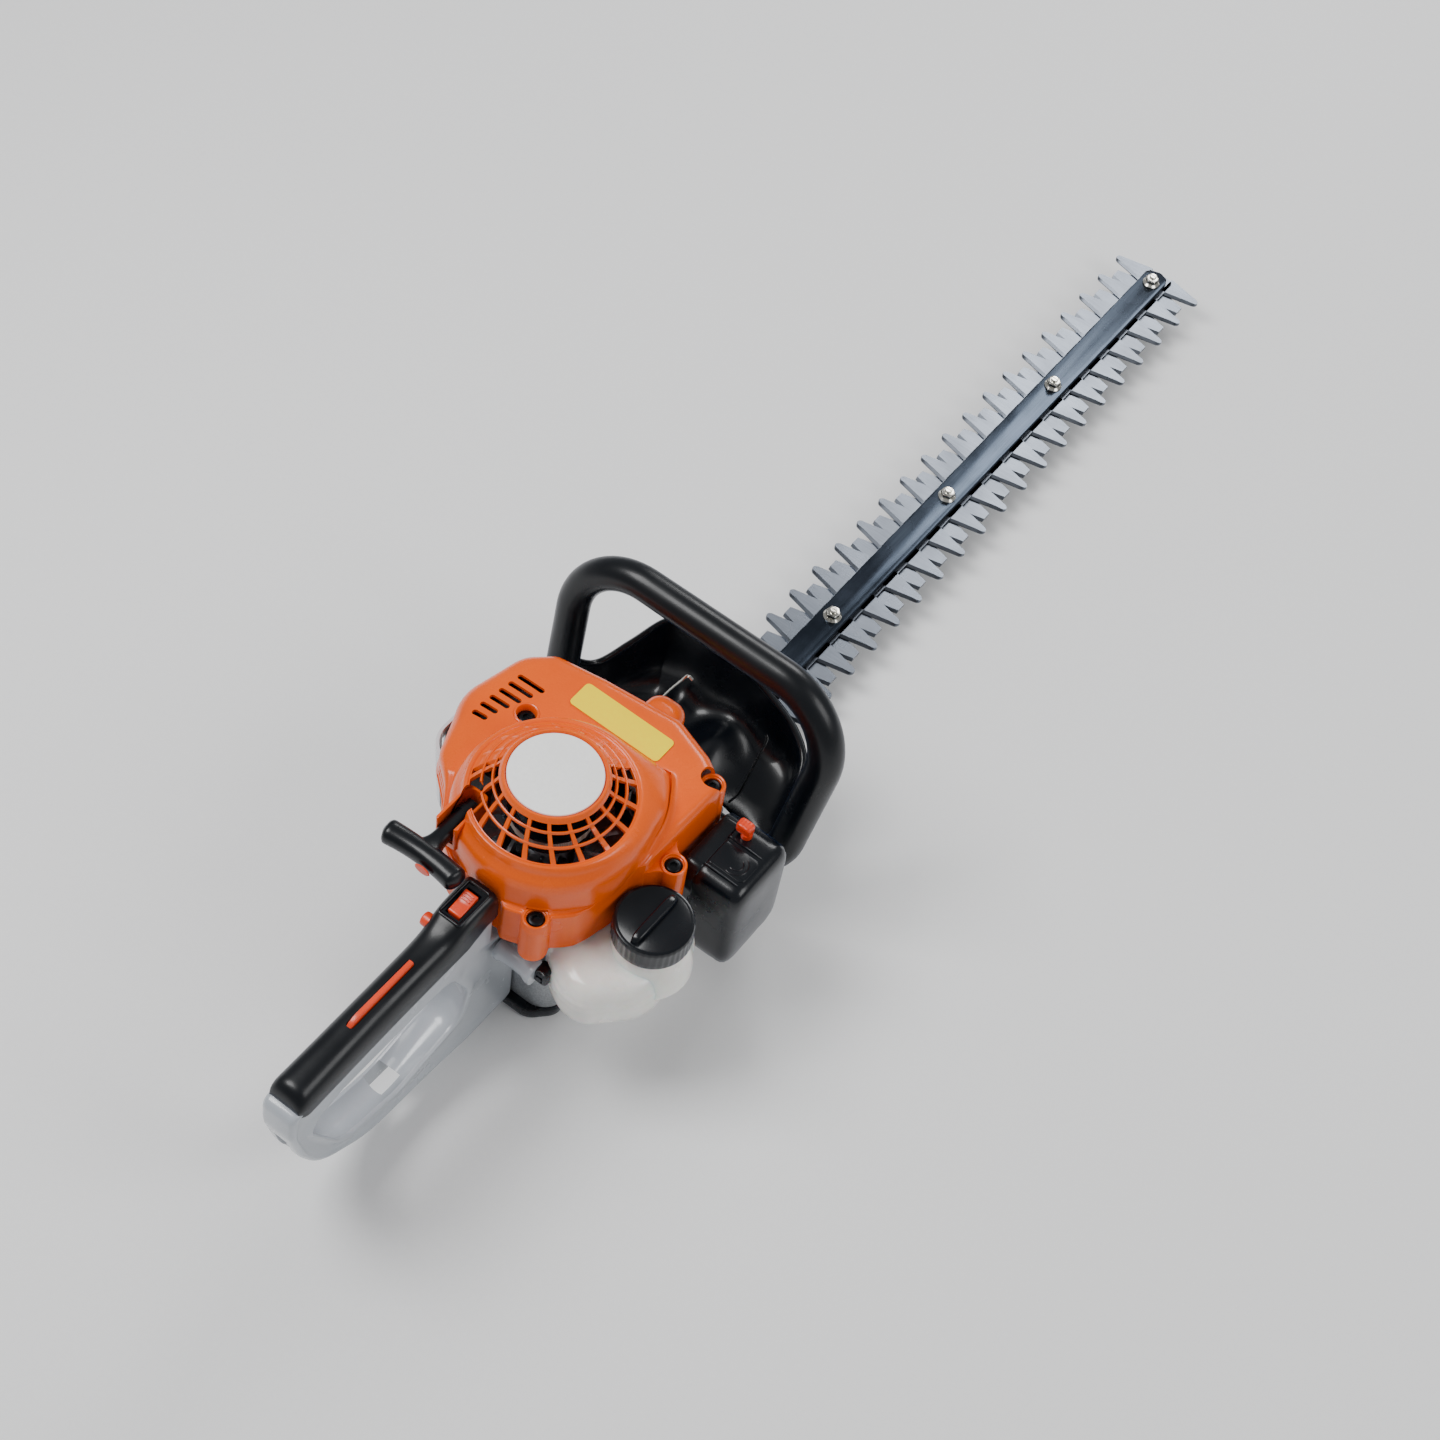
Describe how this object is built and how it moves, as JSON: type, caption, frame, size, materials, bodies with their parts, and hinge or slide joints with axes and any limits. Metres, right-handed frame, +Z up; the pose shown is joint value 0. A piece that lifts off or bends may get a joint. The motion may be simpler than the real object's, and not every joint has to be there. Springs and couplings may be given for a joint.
{
  "type": "petrol hedge trimmer",
  "caption": "Petrol hedge trimmer with double-sided reciprocating blade, orange fan housing, loop front handle, hand guard and closed rear handle.",
  "frame": {"origin": "on the crankshaft's axis, in the plane of the base tray's underside on which the tool rests", "axes": "+X to the right, towards the air filter; +Y forwards along the blade; +Z up, along the crankshaft"},
  "size_m": [0.2464, 1.1014, 0.2188],
  "materials": {
    "orange_housing": "smooth moulded plastic, satin to gloss",
    "black_plastic": "moulded plastic with a soft blue-black sheen",
    "grey_frame": "light grey moulded plastic, satin",
    "grey_guard": "light grey pressed cover, satin",
    "tank_white": "translucent off-white moulded plastic",
    "badge_white": "plain white disc",
    "band_yellow": "plain yellow band",
    "control_orange": "orange-red moulded plastic",
    "cutter_steel": "ground blade steel",
    "bar_steel": "polished dark blue-grey steel",
    "bright_steel": "bright plated steel",
    "machined_steel": "machined steel",
    "cast_alloy": "die-cast alloy",
    "blackened_steel": "heat-darkened sheet steel",
    "boot_rubber": "moulded rubber",
    "filter_foam": "foam",
    "rope": "braided rope, wound",
    "black_screw": "blackened screw"
  },
  "bodies": {
    "engine": {"guide_bar": "bar_steel", "blade_bolt_1": "bright_steel", "blade_bolt_2": "bright_steel", "blade_bolt_3": "bright_steel", "blade_bolt_4": "bright_steel", "gearbox_housing": "cast_alloy", "base_tray": "black_plastic", "drum_bearing": "bright_steel", "crankcase_lower": "cast_alloy", "crankcase_upper": "cast_alloy", "crank_bearing_lower": "bright_steel", "crank_bearing_upper": "bright_steel", "cylinder": "cast_alloy", "spark_plug": "bright_steel", "plug_boot": "boot_rubber", "muffler": "blackened_steel", "muffler_guard": "grey_guard", "intake_spacer": "black_plastic", "carburettor": "cast_alloy", "filter_base": "black_plastic", "filter_cover": "black_plastic", "filter_element": "filter_foam", "fuel_tank": "tank_white", "tank_clip": "black_plastic", "fan_housing": "orange_housing", "cover_screw_1": "black_screw", "cover_screw_2": "black_screw", "cover_screw_3": "black_screw", "cover_screw_4": "black_screw", "badge_disc": "badge_white", "colour_band": "band_yellow", "recoil_spring": "bar_steel", "ignition_coil": "black_plastic", "front_handle": "black_plastic", "hand_guard": "black_plastic", "handle_frame": "grey_frame", "handle_shell": "black_plastic", "mount_bush": "grey_frame"},
    "crank": {"crankshaft": "machined_steel", "clutch_shoes": "bar_steel", "flywheel_fan": "machined_steel", "flywheel_nut": "bright_steel"},
    "drum": {"clutch_drum": "machined_steel"},
    "wheel": {"eccentric_wheel": "machined_steel"},
    "piston_set": {"piston": "machined_steel", "piston_pin": "bright_steel", "connecting_rod": "machined_steel"},
    "upper_blade": {"upper_cutter": "cutter_steel"},
    "lower_blade": {"lower_cutter": "cutter_steel"},
    "grip": {"pull_grip": "black_plastic"},
    "pulley": {"rope_pulley": "black_plastic", "starter_rope": "rope"},
    "choke": {"choke_knob": "control_orange"},
    "cap": {"fuel_cap": "black_plastic"},
    "trigger": {"throttle_trigger": "control_orange"},
    "lockout": {"lockout_lever": "control_orange"},
    "switch": {"stop_switch": "control_orange"},
    "button": {"half_throttle_button": "control_orange"}
  },
  "joints": [
    {"name": "crank_spin", "type": "hinge", "parent": "engine", "child": "crank", "pos_m": [0, 0, 0.106], "axis": [0, 0, 1], "continuous": true},
    {"name": "drum_spin", "type": "hinge", "parent": "engine", "child": "drum", "pos_m": [0, 0, 0.06], "axis": [0, 0, 1], "continuous": true},
    {"name": "wheel_spin", "type": "hinge", "parent": "engine", "child": "wheel", "pos_m": [0, 0.03875, 0.03], "axis": [0, 0, 1], "continuous": true},
    {"name": "piston_slide", "type": "slide", "parent": "engine", "child": "piston_set", "axis": [0, 1, 0], "range_m": [0, 0.026]},
    {"name": "upper_blade_slide", "type": "slide", "parent": "engine", "child": "upper_blade", "axis": [0, 1, 0], "range_m": [-0.0075, 0.0075]},
    {"name": "lower_blade_slide", "type": "slide", "parent": "engine", "child": "lower_blade", "axis": [0, 1, 0], "range_m": [-0.0075, 0.0075]},
    {"name": "grip_pull", "type": "slide", "parent": "engine", "child": "grip", "axis": [0, -0.97, 0.243], "range_m": [0, 0.6], "stiffness_N_per_m": 15, "springref_m": -0.1},
    {"name": "pulley_spin", "type": "hinge", "parent": "engine", "child": "pulley", "pos_m": [0, 0, 0.177], "axis": [0, 0, 1], "range_deg": [0, 1450]},
    {"name": "choke_turn", "type": "hinge", "parent": "engine", "child": "choke", "pos_m": [0.097, 0.086, 0.145], "axis": [0, 0, 1], "range_deg": [0, 60]},
    {"name": "cap_turn", "type": "hinge", "parent": "engine", "child": "cap", "pos_m": [0.092, -0.008, 0.145], "axis": [0, 0, 1], "range_deg": [0, 90]},
    {"name": "trigger_pull", "type": "hinge", "parent": "engine", "child": "trigger", "pos_m": [0, -0.112, 0.131], "axis": [-1, 0, 0], "range_deg": [0, 12], "stiffness_Nm_per_rad": 0.3, "springref_deg": -11.46},
    {"name": "lockout_press", "type": "hinge", "parent": "engine", "child": "lockout", "pos_m": [0, -0.136, 0.15], "axis": [1, 0, 0], "range_deg": [0, 6], "stiffness_Nm_per_rad": 0.3, "springref_deg": -11.46},
    {"name": "switch_rock", "type": "hinge", "parent": "engine", "child": "switch", "pos_m": [0, -0.086, 0.167], "axis": [-1, 0, 0], "range_deg": [0, 8]},
    {"name": "button_press", "type": "slide", "parent": "engine", "child": "button", "axis": [1, 0, 0], "range_m": [0, 0.0025], "stiffness_N_per_m": 200, "springref_m": -0.001}
  ],
  "couplings": [
    {"joint": "wheel_spin", "follows": "drum_spin", "ratio": -0.21569},
    {"joint": "lower_blade_slide", "follows": "upper_blade_slide", "ratio": -1},
    {"joint": "pulley_spin", "follows": "grip_pull", "rad_per_m": 40.8}
  ]
}
